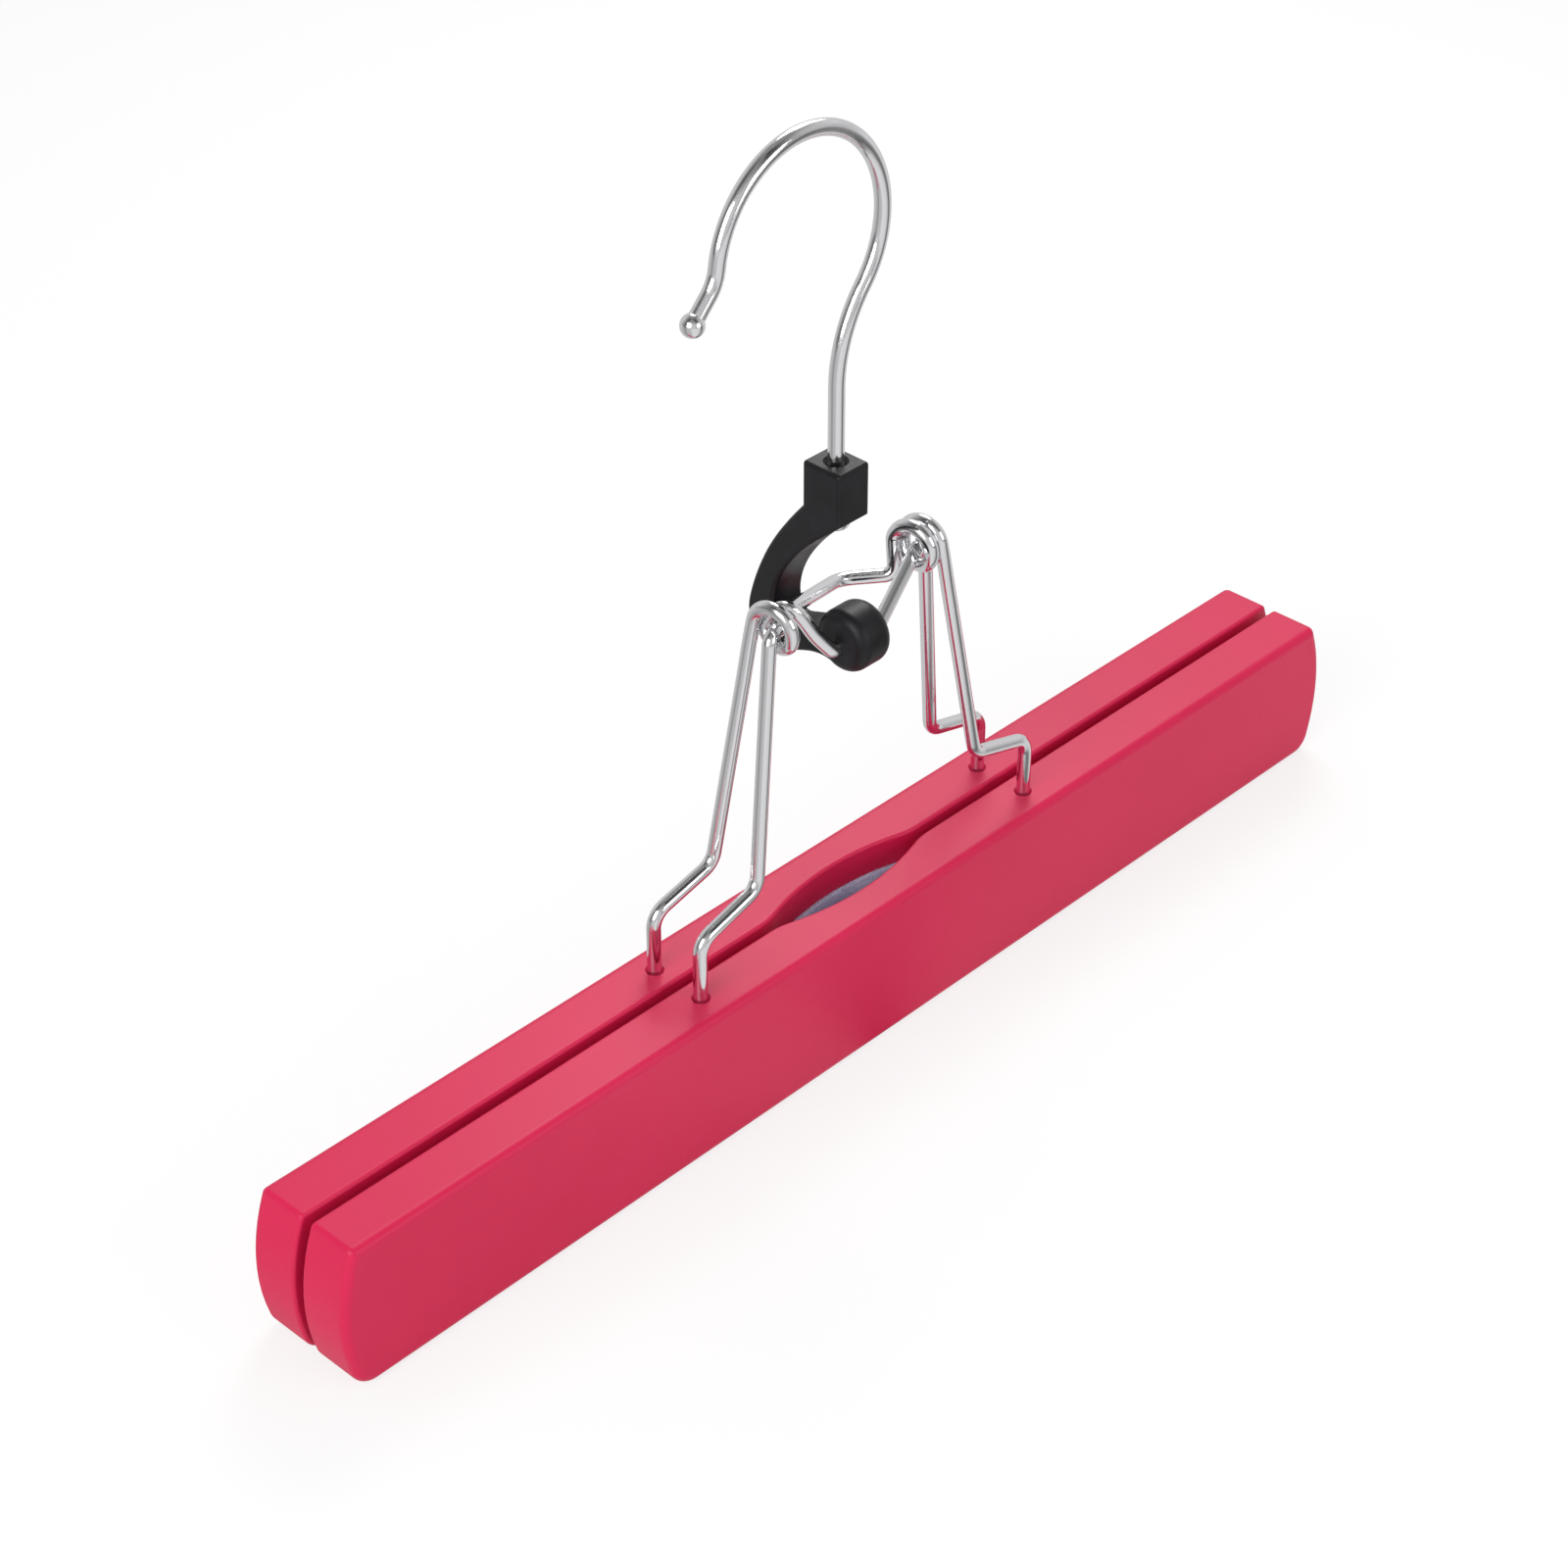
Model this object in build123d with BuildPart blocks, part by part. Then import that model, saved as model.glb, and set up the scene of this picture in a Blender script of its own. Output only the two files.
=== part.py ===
from build123d import *
from math import acos, atan2, cos, dist, radians, sin, sqrt, tan
import os

# Hanging trouser clamp: two painted wooden jaws on interlinked wire frames,
# a moulded claw that carries the rear frame, and a swivel hook.
# The frame: X along the bar, Y from the front jaw to the rear jaw, Z up.
# The origin is the point where the hook's crown rests on the rail.
# Heights are measured up from the underside of the jaws,
# widths from the middle of the bar.

# jaws
bar_length = 290.0
bar_height = 33.1
jaw_thick = 11.8
jaw_gap = 2.3
end_top_inset = 3.6
end_low_inset = 3.0
end_belly_height = 15.8
low_corner_r = 5.0
top_corner_r = 1.2
outer_edge_r = 1.8
inner_edge_r = 0.8
recess_depth = 3.6
recess_r = 62.0
recess_blend_r = 14.0

# felt strips
felt_thick = 1.0
felt_top = 26.5
felt_low = 1.5
felt_half = 136.0

# wires
wire_r = 1.45
hook_r = 1.6
peg_x = 47.9
peg_y = 6.35
peg_depth = 24.0
peg_fit = 0.05
mouth_r = 1.95
mouth_depth = 0.5
jog_low = 46.4
jog_high = 50.7
leg_low_x = 31.9
leg_low_y = 6.05
leg_bend_r = 4.2

# pivot of the two frames; heights near it are given as drops from it
gap_sample = 0.5
gap_skip = 12.0
pivot_height = 103.2
coil_drop = 0.39
coil_wide_r = 4.37
coil_tall_r = 4.45
coil_shift = 0.51
coil_pitch = 2.98
coil_x = 22.35
coil_step = 30.0
coil_lead = 12.0
arch_near_x = 17.94
arch_near_y = 0.2
arch_near_drop = 1.89
arch_far_x = 23.12
arch_far_y = 1.27
arch_far_drop = 0.51
arch_bend_r = 3.0
arch_turn_r = 2.4
knee_bend_r = 2.2
bore_y = -4.8
bore_drop = 9.0

# rear frame between its coil and the knob
rear_coil_angle = 330.0
shoulder_x = 17.52
shoulder_y = 0.74
shoulder_rise = 1.95
knee_left = 9.7
knee_right = 3.2
tail_length = 4.14

# front frame between its coil and its arch
front_coil_angle = 540.0
drop_x = 17.1
drop_y = 3.51
drop_fall = 7.33
drop_bend_r = 2.2
cross_x = 9.44
cross_y = 11.34
cross_fall = 8.32
cross_bend_r = 4.5
mid_x = 11.38
mid_y = 5.4
mid_fall = 3.42
mid_bend_r = 12.0

# claw; its heights are measured from the bore for the rear frame
claw_x = -4.0
claw_width = 8.4
bore_fit = 0.05
knob_y = -5.15
knob_rise = 1.2
knob_r = 6.5
knob_width = 8.8
knob_edge_r = 2.4
block_front = -4.75
block_rear = 4.75
block_top_rise = 37.3
block_low_rise = 26.3
block_shoulder_rise = 27.6
block_edge_r = 0.7
claw_edge_r = 0.8
arm_outer = [(9.15, 22.0), (13.35, 15.6), (16.55, 8.9), (18.65, 2.6)]
arm_heel = [(18.6, -3.9), (15.9, -6.8), (11.75, -7.3), (8.05, -6.3), (4.85, -5.0)]
arm_toe = (19.2, -0.6)
arm_end = (-4.25, -4.4)
arm_inner = [(0.85, 21.5), (4.65, 17.8), (8.65, 12.8), (11.15, 8.3), (12.3, 4.4)]
arm_throat = (12.2, 0.8)
neck_top = [(10.65, -1.3), (8.25, -0.9), (5.35, 0.1)]
neck_end = (-3.0, 2.8)

# stem bore and the riveted head below it
stem_fit = 0.05
stem_mouth_r = 2.5
stem_mouth_depth = 0.8
seat_rise = 25.3
pocket_r = 3.05
head_r = 2.75
head_thick = 1.8
head_gap = 0.05
head_edge_r = 0.4

# hook; its heights are measured from the same bore
crown_r = 21.3
crown_back = 9.6
crown_rise = 84.9
stem_straight_rise = 52.8
flare_r = 8.0
flare_start = 172.0
flare_turn = 37.0
flare_tail = 5.6
tip_r = 2.3

bore_height = pivot_height - bore_drop
seat_height = bore_height + seat_rise
block_top = bore_height + block_top_rise
crown_height = bore_height + crown_rise
stem_straight = bore_height + stem_straight_rise
rail_x = claw_x - crown_back
rail_height = crown_height + crown_r - hook_r


def spot(x, y, height):
    # a place given by width, depth and height
    return Vector(x - rail_x, y, height - rail_height)


def bent_path(points, radii):
    # straight runs joined by bends, added to the line being built
    last = points[0]
    for here, after, r in zip(points[1:-1], points[2:], radii):
        came = (here - last).normalized()
        goes = (after - here).normalized()
        turn = acos(max(-1, min(1, came.dot(goes))))
        reach = r * tan(turn / 2)
        inward = (goes - came).normalized()
        start = here - came * reach
        end = here + goes * reach
        Line(last, start)
        ThreePointArc(start, here + inward * (r / cos(turn / 2) - r), end)
        last = end
    Line(last, points[-1])


def coil_places(hand, whole_turn):
    # centre line of an open coil from its leg; hand 1 is the right end of the bar
    places = []
    for i in range(int(whole_turn / coil_step) + 1):
        angle = radians(i * coil_step)
        x = hand * (coil_x - coil_pitch * i * coil_step / 360)
        y = -hand * (coil_wide_r * cos(angle) - coil_shift)
        places.append(spot(x, y, pivot_height - coil_drop + coil_tall_r * sin(angle)))
    return places


def arch_places(hand):
    # the short flat on which the other frame's coil turns
    return [
        spot(hand * arch_near_x, -hand * arch_near_y, pivot_height - arch_near_drop),
        spot(hand * arch_far_x, hand * arch_far_y, pivot_height - arch_far_drop),
    ]


def leg_places(side, hand):
    # peg, jog and foot of a leg; side 1 is the rear jaw, hand 1 the right end
    return [
        spot(hand * peg_x, side * peg_y, bar_height - peg_depth),
        spot(hand * peg_x, side * peg_y, jog_low),
        spot(hand * leg_low_x, side * leg_low_y, jog_high),
    ]


def least_gap(line):
    # least gap of a wire to itself, between places further apart along it than gap_skip
    count = int(line.length / gap_sample)
    skip = int(gap_skip / gap_sample)
    places = [tuple(line @ (i / count)) for i in range(count + 1)]
    least = line.length
    for i in range(count + 1 - skip):
        for j in range(i + skip, count + 1):
            least = min(least, dist(places[i], places[j]))
    return least - 2 * wire_r


def wall_line(side, rise, half):
    # plan of a jaw's inner wall with its recess, moved by rise into the gap
    flat = side * (jaw_gap / 2 - rise)
    centre_y = jaw_gap / 2 + recess_depth - recess_r
    blend_y = jaw_gap / 2 + recess_blend_r
    blend_x = sqrt(recess_depth * (2 * (recess_r + recess_blend_r) - recess_depth))
    turn = atan2(blend_x, blend_y - centre_y)
    big = recess_r - rise
    small = recess_blend_r + rise
    start_x = -rail_x
    join = (big * sin(turn), side * (centre_y + big * cos(turn)))
    half_way = (blend_x - small * sin(turn / 2), side * (blend_y - small * cos(turn / 2)))
    bottom = (start_x, side * (centre_y + big))
    Line((start_x - half, flat), (start_x - blend_x, flat))
    ThreePointArc((start_x - blend_x, flat), (start_x - half_way[0], half_way[1]), (start_x - join[0], join[1]))
    ThreePointArc((start_x - join[0], join[1]), bottom, (start_x + join[0], join[1]))
    ThreePointArc((start_x + join[0], join[1]), (start_x + half_way[0], half_way[1]), (start_x + blend_x, flat))
    Line((start_x + blend_x, flat), (start_x + half, flat))


def jaw_outline():
    # side view of a jaw: straight top, bowed ends, rounded lower corners
    half = bar_length / 2
    top_x = half - end_top_inset
    low_x = half - end_low_inset
    mid = -rail_x
    low = -rail_height
    high = bar_height - rail_height
    belly = end_belly_height - rail_height
    with BuildSketch(Plane.XZ, mode=Mode.PRIVATE) as outline:
        with BuildLine():
            Line((mid - top_x, high), (mid + top_x, high))
            ThreePointArc((mid + top_x, high), (mid + half, belly), (mid + low_x, low))
            Line((mid + low_x, low), (mid - low_x, low))
            ThreePointArc((mid - low_x, low), (mid - half, belly), (mid - top_x, high))
        make_face()
        fillet(outline.vertices().group_by(Axis.Y)[0], low_corner_r)
        fillet(outline.vertices().group_by(Axis.Y)[-1], top_corner_r)
    return outline.sketch


def make_jaw(side):
    # side 1 is the rear jaw, side -1 the front one
    outer = side * (jaw_gap / 2 + jaw_thick)
    with BuildPart() as jaw:
        with BuildSketch(Plane.XY.offset(-rail_height - bar_height)):
            with BuildLine():
                wall_line(side, 0, bar_length)
                flat = side * jaw_gap / 2
                Line((bar_length - rail_x, flat), (bar_length - rail_x, outer))
                Line((bar_length - rail_x, outer), (-bar_length - rail_x, outer))
                Line((-bar_length - rail_x, outer), (-bar_length - rail_x, flat))
            make_face()
        extrude(amount=3 * bar_height)
        extrude(jaw_outline(), amount=2 * jaw_thick, both=True, mode=Mode.INTERSECT)
        fillet(jaw.faces().sort_by(Axis.Y)[-1 if side > 0 else 0].edges(), outer_edge_r)
        fillet(rim_edges(jaw, side), inner_edge_r)
        for hand in (-1, 1):
            with Locations(spot(hand * peg_x, side * peg_y, bar_height)):
                Cylinder(
                    wire_r + peg_fit, peg_depth,
                    align=(Align.CENTER, Align.CENTER, Align.MAX), mode=Mode.SUBTRACT,
                )
                Cone(
                    wire_r + peg_fit, mouth_r, mouth_depth,
                    align=(Align.CENTER, Align.CENTER, Align.MAX), mode=Mode.SUBTRACT,
                )
    return jaw


def rim_edges(jaw, side):
    # the edges round the inner wall, without the seams between its curves
    reach = jaw_gap / 2 + recess_depth + inner_edge_r / 2
    picked = []
    for edge in jaw.edges():
        box = edge.bounding_box()
        across = box.max.Y if side > 0 else -box.min.Y
        seam = box.size.X < inner_edge_r and abs(edge.center().X + rail_x) < bar_length / 4
        if across < reach and not seam:
            picked.append(edge)
    return picked


def make_felt(side):
    # a strip of even thickness on the inner wall, recess included
    with BuildPart() as felt:
        with BuildSketch(Plane.XY.offset(felt_low - rail_height)):
            with BuildLine():
                wall_line(side, 0, felt_half)
                wall_line(side, felt_thick, felt_half)
                back = side * jaw_gap / 2
                face = side * (jaw_gap / 2 - felt_thick)
                Line((felt_half - rail_x, back), (felt_half - rail_x, face))
                Line((-felt_half - rail_x, back), (-felt_half - rail_x, face))
            make_face()
        extrude(amount=felt_top - felt_low)
    return felt


front_jaw = make_jaw(-1)
rear_jaw = make_jaw(1)
front_felt = make_felt(-1)
rear_felt = make_felt(1)

# rear frame: left leg, coil, run through the knob, right arch, right leg
knee_near = spot(-knee_left, bore_y, bore_height)
with BuildPart() as rear_frame:
    with BuildLine() as rear_line:
        coil = coil_places(-1, rear_coil_angle)
        foot = leg_places(1, -1)
        lead_dir = (coil[0] - foot[2]).normalized()
        lead = coil[0] - lead_dir * coil_lead
        bent_path(foot + [lead], [leg_bend_r, leg_bend_r])
        shoulder = spot(-shoulder_x, shoulder_y, pivot_height + shoulder_rise)
        tail_dir = (knee_near - shoulder).normalized()
        tail = knee_near - tail_dir * tail_length
        Spline(lead, *coil, shoulder, tail, tangents=(lead_dir, tail_dir))
        run = [tail, knee_near, spot(knee_right, bore_y, bore_height)]
        run += arch_places(1) + leg_places(1, 1)[::-1]
        bent_path(run, [knee_bend_r, knee_bend_r, arch_bend_r, arch_turn_r, leg_bend_r, leg_bend_r])
    with BuildSketch(Plane(origin=rear_line.line @ 0, z_dir=rear_line.line % 0)):
        Circle(wire_r)
    sweep()

# front frame: right leg, coil, free crossing behind the knob, left arch, left leg
with BuildPart() as front_frame:
    with BuildLine() as front_line:
        coil = coil_places(1, front_coil_angle)
        foot = leg_places(-1, 1)
        lead_dir = (coil[0] - foot[2]).normalized()
        lead = coil[0] - lead_dir * coil_lead
        bent_path(foot + [lead], [leg_bend_r, leg_bend_r])
        drop = spot(drop_x, drop_y, pivot_height - drop_fall)
        drop_dir = (drop - coil[-1]).normalized()
        Spline(lead, *coil, tangents=(lead_dir, drop_dir))
        cross = spot(cross_x, cross_y, pivot_height - cross_fall)
        mid = spot(-mid_x, mid_y, pivot_height - mid_fall)
        run = [coil[-1], drop, cross, mid] + arch_places(-1) + leg_places(-1, -1)[::-1]
        radii = [drop_bend_r, cross_bend_r, mid_bend_r, arch_bend_r, arch_turn_r, leg_bend_r, leg_bend_r]
        bent_path(run, radii)
    with BuildSketch(Plane(origin=front_line.line @ 0, z_dir=front_line.line % 0)):
        Circle(wire_r)
    sweep()


def side_view(place):
    # a place in the claw's side view as depth and rise from the bore
    return (place[0], place[1] + bore_height - rail_height)


# knob at the end of the claw, round about the rear frame's run
with BuildPart() as knob:
    with Locations(Location(spot(claw_x, knob_y, bore_height + knob_rise), (0, 90, 0))):
        Cylinder(knob_r, knob_width)
    fillet(knob.edges().filter_by(GeomType.CIRCLE), knob_edge_r)

# claw: block with the stem bore, bowed arm and neck, with the knob added
with BuildPart() as claw:
    left_face = claw_x - claw_width / 2 - rail_x
    with BuildSketch(Plane.YZ.offset(left_face)):
        with BuildLine():
            shoulder = side_view((block_rear, block_shoulder_rise))
            chin = side_view((block_front, block_low_rise))
            Line(shoulder, side_view((block_rear, block_top_rise)))
            Line(side_view((block_rear, block_top_rise)), side_view((block_front, block_top_rise)))
            Line(side_view((block_front, block_top_rise)), chin)
            inner = [side_view(p) for p in arm_inner + [arm_throat] + neck_top + [neck_end]]
            Spline(chin, *inner)
            outer = [side_view(p) for p in arm_outer + [arm_toe] + arm_heel + [arm_end]]
            Spline(shoulder, *outer)
            Line(side_view(neck_end), side_view(arm_end))
        make_face()
    extrude(amount=claw_width)
    fillet(claw.edges().filter_by(Axis.X).group_by(Axis.Z)[-1], block_edge_r)
    sides = claw.faces().filter_by(Axis.X)
    fillet(sides.edges(), claw_edge_r)
    add(knob.part)
    with Locations(Location(spot(claw_x, bore_y, bore_height), (0, 90, 0))):
        Cylinder(wire_r + bore_fit, 2 * knob_width, mode=Mode.SUBTRACT)
    with Locations(spot(claw_x, 0, block_top)):
        Cylinder(
            hook_r + stem_fit, 2 * (block_top - seat_height),
            align=(Align.CENTER, Align.CENTER, Align.MAX), mode=Mode.SUBTRACT,
        )
        Cone(
            hook_r + stem_fit, stem_mouth_r, stem_mouth_depth,
            align=(Align.CENTER, Align.CENTER, Align.MAX), mode=Mode.SUBTRACT,
        )
    with Locations(spot(claw_x, 0, seat_height)):
        Cylinder(
            pocket_r, block_top - seat_height,
            align=(Align.CENTER, Align.CENTER, Align.MAX), mode=Mode.SUBTRACT,
        )

# hook: riveted head, stem, neck bend, crown, flare and ball tip
neck_rise = crown_rise - stem_straight_rise
neck_r = (crown_back ** 2 + neck_rise ** 2 - crown_r ** 2) / (2 * (crown_r - crown_back))
head_top = seat_height - head_gap
with BuildPart() as head:
    with Locations(spot(claw_x, 0, head_top)):
        Cylinder(head_r, head_thick, align=(Align.CENTER, Align.CENTER, Align.MAX))
    fillet(head.edges().filter_by(GeomType.CIRCLE), head_edge_r)
with BuildPart() as hook:
    with BuildLine(Plane.XZ) as hook_line:
        stem_x = claw_x - rail_x
        low_end = (stem_x, head_top - head_thick - rail_height)
        Line(low_end, (stem_x, stem_straight - rail_height))
        slope = atan2(neck_rise, neck_r + crown_back)
        neck_mid = (
            stem_x + neck_r * (1 - cos(slope / 2)),
            stem_straight + neck_r * sin(slope / 2) - rail_height,
        )
        neck_out = (
            stem_x + neck_r * (1 - cos(slope)),
            stem_straight + neck_r * sin(slope) - rail_height,
        )
        ThreePointArc((stem_x, stem_straight - rail_height), neck_mid, neck_out)
        crown_z = crown_height - rail_height
        flare_angle = radians(flare_start)
        flare_in = (crown_r * cos(flare_angle), crown_z + crown_r * sin(flare_angle))
        ThreePointArc(neck_out, (0, crown_z + crown_r), flare_in)
        flare_x = (crown_r + flare_r) * cos(flare_angle)
        flare_z = crown_z + (crown_r + flare_r) * sin(flare_angle)
        half_turn = flare_angle - radians(180 + flare_turn / 2)
        full_turn = flare_angle - radians(180 + flare_turn)
        flare_mid = (flare_x + flare_r * cos(half_turn), flare_z + flare_r * sin(half_turn))
        flare_out = (flare_x + flare_r * cos(full_turn), flare_z + flare_r * sin(full_turn))
        ThreePointArc(flare_in, flare_mid, flare_out)
        tip = (
            flare_out[0] + flare_tail * sin(full_turn),
            flare_out[1] - flare_tail * cos(full_turn),
        )
        Line(flare_out, tip)
    with BuildSketch(Plane(origin=hook_line.line @ 0, z_dir=hook_line.line % 0)):
        Circle(hook_r)
    sweep()
    add(head.part)
    with Locations(Vector(tip[0], 0, tip[1])):
        Sphere(tip_r)

print("rear frame, least gap to itself:", round(least_gap(rear_line.wire()), 2), "mm")
print("front frame, least gap to itself:", round(least_gap(front_line.wire()), 2), "mm")

os.makedirs("parts", exist_ok=True)
hook.part.label = "hook"
export_step(hook.part, "parts/hook.step")
claw.part.label = "claw"
export_step(claw.part, "parts/claw.step")
front_jaw.part.label = "front_jaw"
export_step(front_jaw.part, "parts/front_jaw.step")
rear_jaw.part.label = "rear_jaw"
export_step(rear_jaw.part, "parts/rear_jaw.step")
front_frame.part.label = "front_frame"
export_step(front_frame.part, "parts/front_frame.step")
rear_frame.part.label = "rear_frame"
export_step(rear_frame.part, "parts/rear_frame.step")
front_felt.part.label = "front_felt"
export_step(front_felt.part, "parts/front_felt.step")
rear_felt.part.label = "rear_felt"
export_step(rear_felt.part, "parts/rear_felt.step")
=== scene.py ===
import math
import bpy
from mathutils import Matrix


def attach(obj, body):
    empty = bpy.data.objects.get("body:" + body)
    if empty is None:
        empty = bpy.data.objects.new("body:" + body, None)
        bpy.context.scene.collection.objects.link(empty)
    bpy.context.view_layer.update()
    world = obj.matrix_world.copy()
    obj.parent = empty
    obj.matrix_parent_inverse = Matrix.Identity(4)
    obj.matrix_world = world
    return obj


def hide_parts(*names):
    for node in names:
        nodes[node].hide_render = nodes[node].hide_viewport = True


bl_info = {
    "name": "Trouser Hanger",
    "version": (1, 0, 0),
    "blender": (4, 5, 0),
    "location": "3D View > Sidebar > Hanger",
    "description": "Dresses a clamp hanger: painted jaws, plated wires, moulded claw, felt strips",
    "category": "Object",
}

import bmesh
import bpy
from bpy.props import FloatProperty, IntProperty, PointerProperty, StringProperty
from mathutils import Vector, noise

MM = 0.001

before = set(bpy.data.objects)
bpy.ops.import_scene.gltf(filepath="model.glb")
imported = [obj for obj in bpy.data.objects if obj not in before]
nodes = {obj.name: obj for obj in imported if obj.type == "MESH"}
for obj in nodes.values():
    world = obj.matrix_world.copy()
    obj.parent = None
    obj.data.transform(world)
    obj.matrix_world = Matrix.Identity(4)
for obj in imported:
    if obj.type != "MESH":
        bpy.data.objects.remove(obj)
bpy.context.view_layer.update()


def linear(code):
    """An sRGB hex colour as linear RGBA."""
    parts = [int(code[i : i + 2], 16) / 255 for i in (1, 3, 5)]
    return [c / 12.92 if c <= 0.04045 else ((c + 0.055) / 1.055) ** 2.4 for c in parts] + [1.0]


# Sizes of the hanger in millimetres, measured up from the jaws' underside
# and out from the bar's middle. The rail seat is the frame's origin.
RAIL_X = -13.6
RAIL_HEIGHT = 198.8
CLAW_X = -4.0


def spot(x, y, height):
    """A place given by width, depth and height in mm, as metres in the frame."""
    return Vector((x - RAIL_X, y, height - RAIL_HEIGHT)) * MM


# Wire sizes: the two frames are one pattern, one of them turned half round.
WIRE_R = 1.45
HOOK_R = 1.6
PEG = (47.9, 6.35)
PEG_FOOT = 9.1
JOG = (46.4, 50.7)
LEG_LOW = (31.9, 6.05)
LEG_BEND_R = 4.2
COIL_WIDE_R = 4.37
COIL_TALL_R = 4.45
COIL_SHIFT = 0.51
COIL_PITCH = 2.98
COIL_X = 22.35
COIL_HEIGHT = 102.81
COIL_STEP = 30
COIL_LEAD = 12.0
ARCH_NEAR = (17.94, -0.2, 101.31)
ARCH_FAR = (23.12, 1.27, 102.69)
ARCH_BENDS = (3.0, 2.4)
BORE = (-4.8, 94.2)
KNEES = (-9.7, 3.2)
KNEE_R = 2.2
TAIL = 4.14
REAR_TURN = 330
SHOULDER = (-17.52, 0.74, 105.15)
FRONT_TURN = 540
DROP = (17.1, 3.51, 95.87)
DROP_R = 2.2
CROSS = (9.44, 11.34, 94.88)
CROSS_R = 4.5
MID = (-11.38, 5.4, 99.78)
MID_R = 12.0

# Hook sizes
CROWN_R = 21.3
CROWN_BACK = 9.6
CROWN_HEIGHT = 179.1
STEM_TOP = 147.0
STEM_FOOT = 117.65
FLARE_R = 8.0
FLARE_START = 172.0
FLARE_TURN = 37.0
FLARE_TAIL = 5.6
TIP_R = 2.3

# Felt and jaw sizes
JAW_GAP = 2.3
FELT_THICK = 1.0
FELT_LOW = 1.5
FELT_TOP = 26.5
FELT_HALF = 136.0
RECESS_DEPTH = 3.6
RECESS_R = 62.0
RECESS_BLEND_R = 14.0
FELT_STEPS = 136
RECESS_CLEAR = 17.0

# Felt edges: softened and uneven by these depths, over so many waves per mm,
# with bands up the face, the loose fibres above a share of its height
FELT_SOFT = 0.18
FELT_WAVE = 0.12
FELT_WAVES = 0.35
FELT_SIDE_SHIFT = 3.0
FELT_BANDS = 6
FIBRES_FROM_SHARE = 0.4

# One loose fibre, in shares of its height, and how it varies
FIBRE_ROOT_SHARES = (0, 0, -0.15)
FIBRE_BEND_SHARES = (0, 0, 0.6)
FIBRE_TIP_SHARES = (0.35, 0.1, 1.0)
FIBRE_R_SHARE = 0.035
FIBRE_LEAN = 0.35
FIBRE_SHORTEST_SHARE = 0.4

# Riveted head of the stem, as radius and rise from its underside
HEAD_PROFILE = [(1.9, 0.0), (2.5, 0.15), (2.75, 0.5), (2.75, 1.4), (2.6, 1.7), (2.2, 1.8)]

# Stage: the place that the camera looks at in mm, the floor in metres, and
# the lamps as place from there in metres, size in metres and share of the key light
VIEW_MIDDLE = (-17.98, 0, 65.31)
FLOOR_SIZE = 6
FLOOR_CLEAR_SHARE = 0.75
LAMPS = [
    ("key", (-0.75, -0.15, 0.45), 0.5, 1.0),
    ("side", (0.2, -0.85, 0.35), 0.5, 0.45),
    ("back", (0.42, 0.3, 0.55), 0.35, 0.6),
]

# Grey flags beside the camera, as bearing from it in degrees and tone
FLAGS = [
    (-180, "#F2F2F2"), (-115, "#F0F0F0"), (-85, "#A0A0A0"), (-66, "#7C7C7C"), (-48, "#C8C8C8"),
    (-22, "#FAFAFA"), (0, "#E4E4E4"), (18, "#F4F4F4"), (40, "#C4C4C4"), (55, "#6E6E6E"),
    (70, "#8A8A8A"), (92, "#DADADA"), (130, "#F4F4F4"), (180, "#F2F2F2"),
]
# The same for the floor that the upright wires mirror
FLOOR_FLAGS = [
    (-180, "#D0D0D0"), (-120, "#D8D8D8"), (-85, "#C0C0C0"), (-60, "#9C9C9C"), (-44, "#C8C8C8"),
    (-20, "#C8C8C8"), (4, "#F0F0F0"), (30, "#ECECEC"), (58, "#E4E4E4"), (76, "#A0A0A0"),
    (86, "#686868"), (96, "#909090"), (112, "#E4E4E4"), (180, "#D0D0D0"),
]
# And the ceiling's tones by height, from a little below the horizon to straight up
CEILING_TONES = [(0.0, "#FFFFFF"), (0.35, "#F0F0F0"), (0.5, "#FFFFFF"), (0.72, "#E8E8E8"), (0.9, "#A8A8A8")]


# Centre lines


def place(x, y, height):
    """A place in mm, before it goes to the frame."""
    return Vector((x, y, height))


def bent_run(points, radii, step=math.radians(6)):
    """Straight runs joined by round bends, as places along the line."""
    line = [points[0]]
    last = points[0]
    for here, after, radius in zip(points[1:-1], points[2:], radii):
        came = (here - last).normalized()
        goes = (after - here).normalized()
        turn = came.angle(goes)
        start = here - came * radius * math.tan(turn / 2)
        centre = here + (goes - came).normalized() * (radius / math.cos(turn / 2))
        out = (start - centre) / radius
        count = max(2, math.ceil(turn / step))
        for i in range(count + 1):
            angle = turn * i / count
            line.append(centre + (out * math.cos(angle) + came * math.sin(angle)) * radius)
        last = line[-1]
    line.append(points[-1])
    return line


def eased(points, first_dir, last_dir, count=8):
    """A smooth curve through places, with the given directions at its ends."""
    # natural speeds by chord length, from the even-curvature conditions at the inner places
    spans = [(b - a).length for a, b in zip(points, points[1:])]
    slopes = [(b - a) / h for a, b, h in zip(points, points[1:], spans)]
    speeds = [first_dir.normalized()]
    carry = [0.0]
    for i in range(1, len(points) - 1):
        h0, h1 = spans[i - 1], spans[i]
        lean = 2 * (h0 + h1) - h1 * carry[-1]
        carry.append(h0 / lean)
        speeds.append((3 * (h1 * slopes[i - 1] + h0 * slopes[i]) - h1 * speeds[-1]) / lean)
    speeds.append(last_dir.normalized())
    for i in range(len(points) - 2, 0, -1):
        speeds[i] = speeds[i] - carry[i] * speeds[i + 1]
    line = []
    for a, b, u, v, h in zip(points, points[1:], speeds, speeds[1:], spans):
        for i in range(count):
            t = i / count
            line.append(
                a * (2 * t**3 - 3 * t**2 + 1) + u * h * (t**3 - 2 * t**2 + t)
                + b * (3 * t**2 - 2 * t**3) + v * h * (t**3 - t**2)
            )
    line.append(points[-1])
    return line


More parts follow.
